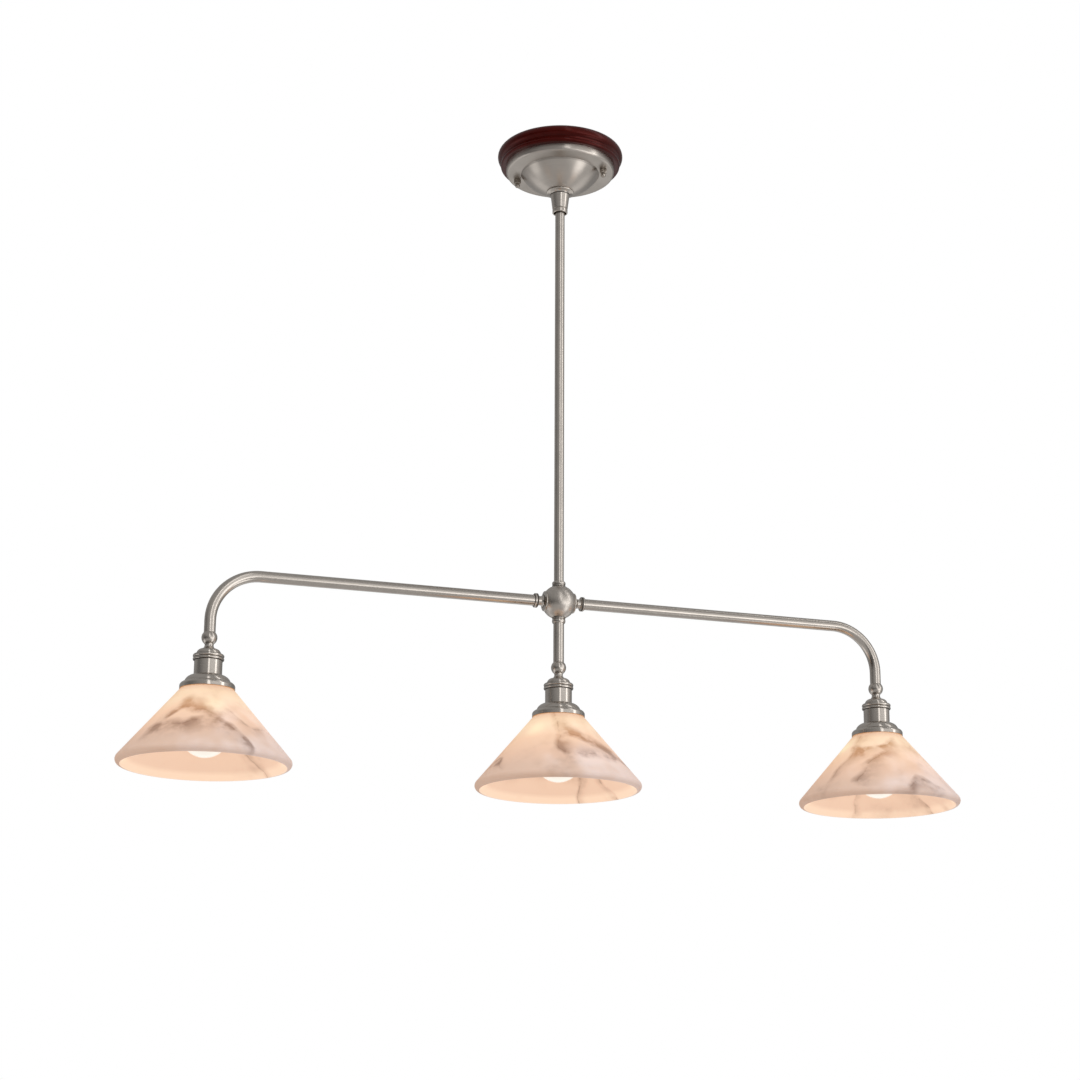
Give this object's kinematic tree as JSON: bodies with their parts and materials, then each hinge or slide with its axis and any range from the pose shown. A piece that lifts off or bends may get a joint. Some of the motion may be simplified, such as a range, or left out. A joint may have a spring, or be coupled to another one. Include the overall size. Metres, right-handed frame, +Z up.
{
  "type": "linear island pendant",
  "caption": "Straight island pendant light: turned wood ceiling plate, nickel canopy, swivel, long rod, ball hub, bent arms and conical stone shades.",
  "frame": {"origin": "centre of the ceiling face of the canopy", "axes": "+Z up out of the ceiling face, +X along the bar to the right light, -Y towards the viewer"},
  "size_m": [1.046, 0.2, 0.832],
  "materials": {
    "nickel": "brushed satin nickel",
    "mahogany": "glossy dark red-brown stain",
    "alabaster": "polished translucent stone with soft veins",
    "lamp_glass": "frosted white",
    "lamp_cap": "bare",
    "knob_metal": "dark knurled",
    "brass": "plain",
    "plated_steel": "zinc plated",
    "nylon": "natural",
    "porcelain": "white glaze",
    "lead_sleeve": "black sleeve",
    "core_sleeve": "single cores",
    "ground_sleeve": "green sleeve, tinned terminal",
    "connector": "moulded"
  },
  "bodies": {
    "canopy": {"ceiling_plate": "mahogany", "canopy_pan": "nickel", "crossbar": "plated_steel", "canopy_studs": "plated_steel", "canopy_knobs": "knob_metal", "ground_screw": "plated_steel", "ground_lead": "ground_sleeve", "swivel_cup": "nickel", "cup_collar": "nickel", "cup_washer": "plated_steel", "cup_nut": "brass", "canopy_leads": "core_sleeve", "wire_connectors": "connector"},
    "swivel_seat": {"seat_ring": "nylon"},
    "swivel_core": {"swivel_ball": "nickel"},
    "hanging_frame": {"swivel_nipple": "brass", "nipple_nut": "brass", "down_rod": "nickel", "rod_collar": "nickel", "hub_ball": "nickel", "drop_collar": "nickel", "hub_nipples": "brass", "arm_bell_left": "nickel", "arm_bell_right": "nickel", "arm_rings": "nickel", "arm_tube_left": "nickel", "arm_tube_right": "nickel", "drop_tube": "nickel", "stem_lead": "lead_sleeve", "splice_block": "connector", "screw_shells": "brass", "centre_contacts": "brass", "shade_rings": "porcelain", "end_ball_left": "nickel", "socket_cap_left": "nickel", "socket_sleeve_left": "nickel", "gallery_left": "nickel", "lampholder_left": "porcelain", "shade_left": "alabaster", "lamp_lead_left": "lead_sleeve", "end_ball_centre": "nickel", "socket_cap_centre": "nickel", "socket_sleeve_centre": "nickel", "gallery_centre": "nickel", "lampholder_centre": "porcelain", "shade_centre": "alabaster", "lamp_lead_centre": "lead_sleeve", "end_ball_right": "nickel", "socket_cap_right": "nickel", "socket_sleeve_right": "nickel", "gallery_right": "nickel", "lampholder_right": "porcelain", "shade_right": "alabaster", "lamp_lead_right": "lead_sleeve"},
    "lamp_left": {"lamp_cap_left": "lamp_cap", "lamp_glass_left": "lamp_glass"},
    "lamp_centre": {"lamp_cap_centre": "lamp_cap", "lamp_glass_centre": "lamp_glass"},
    "lamp_right": {"lamp_cap_right": "lamp_cap", "lamp_glass_right": "lamp_glass"}
  },
  "joints": [
    {"name": "tilt_x", "type": "hinge", "parent": "canopy", "child": "swivel_seat", "pos_m": [0, 0, -0.07407], "axis": [1, 0, 0], "range_deg": [-7, 7]},
    {"name": "tilt_y", "type": "hinge", "parent": "swivel_seat", "child": "swivel_core", "pos_m": [0, 0, -0.07407], "axis": [0, 1, 0], "range_deg": [-7, 7]},
    {"name": "turn_z", "type": "hinge", "parent": "swivel_core", "child": "hanging_frame", "pos_m": [0, 0, -0.07407], "axis": [0, 0, 1], "range_deg": [-170, 170]},
    {"name": "lamp_left_out", "type": "slide", "parent": "hanging_frame", "child": "lamp_left", "axis": [0, 0, -1], "range_m": [0, 0.125]},
    {"name": "lamp_centre_out", "type": "slide", "parent": "hanging_frame", "child": "lamp_centre", "axis": [0, 0, -1], "range_m": [0, 0.125]},
    {"name": "lamp_right_out", "type": "slide", "parent": "hanging_frame", "child": "lamp_right", "axis": [0, 0, -1], "range_m": [0, 0.125]}
  ]
}
